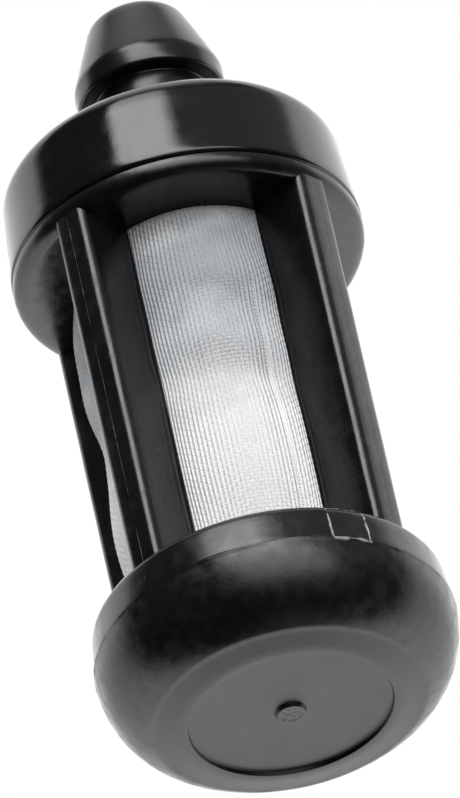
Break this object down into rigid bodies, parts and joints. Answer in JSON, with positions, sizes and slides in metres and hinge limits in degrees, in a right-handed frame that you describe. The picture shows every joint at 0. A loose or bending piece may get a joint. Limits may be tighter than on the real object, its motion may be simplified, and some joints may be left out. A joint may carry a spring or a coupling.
{
  "type": "fuel filter",
  "caption": "In-tank fuel filter for a small engine: finned black cage over a white mesh sleeve, dished base and a barbed hose nipple.",
  "frame": {"origin": "centre of the flat base the filter stands on", "axes": "+Z along the filter's axis, from the base to the nipple tip; +X along one of the four fins"},
  "size_m": [0.0164, 0.0164, 0.0385],
  "materials": {
    "black_plastic": "moulded, semi-gloss",
    "nylon_mesh": "woven monofilament",
    "felt": "pressed fibre",
    "natural_plastic": "unpainted, satin",
    "seal_rubber": "smooth",
    "ballast_steel": "turned"
  },
  "bodies": {
    "root": {"nipple_head": "black_plastic", "cage": "black_plastic", "base_cup": "black_plastic", "mesh_sleeve": "nylon_mesh", "felt_element": "felt", "core_tube": "natural_plastic", "upper_end_disc": "natural_plastic", "lower_end_disc": "natural_plastic", "outlet_seal": "seal_rubber", "ballast_weight": "ballast_steel"}
  },
  "joints": []
}
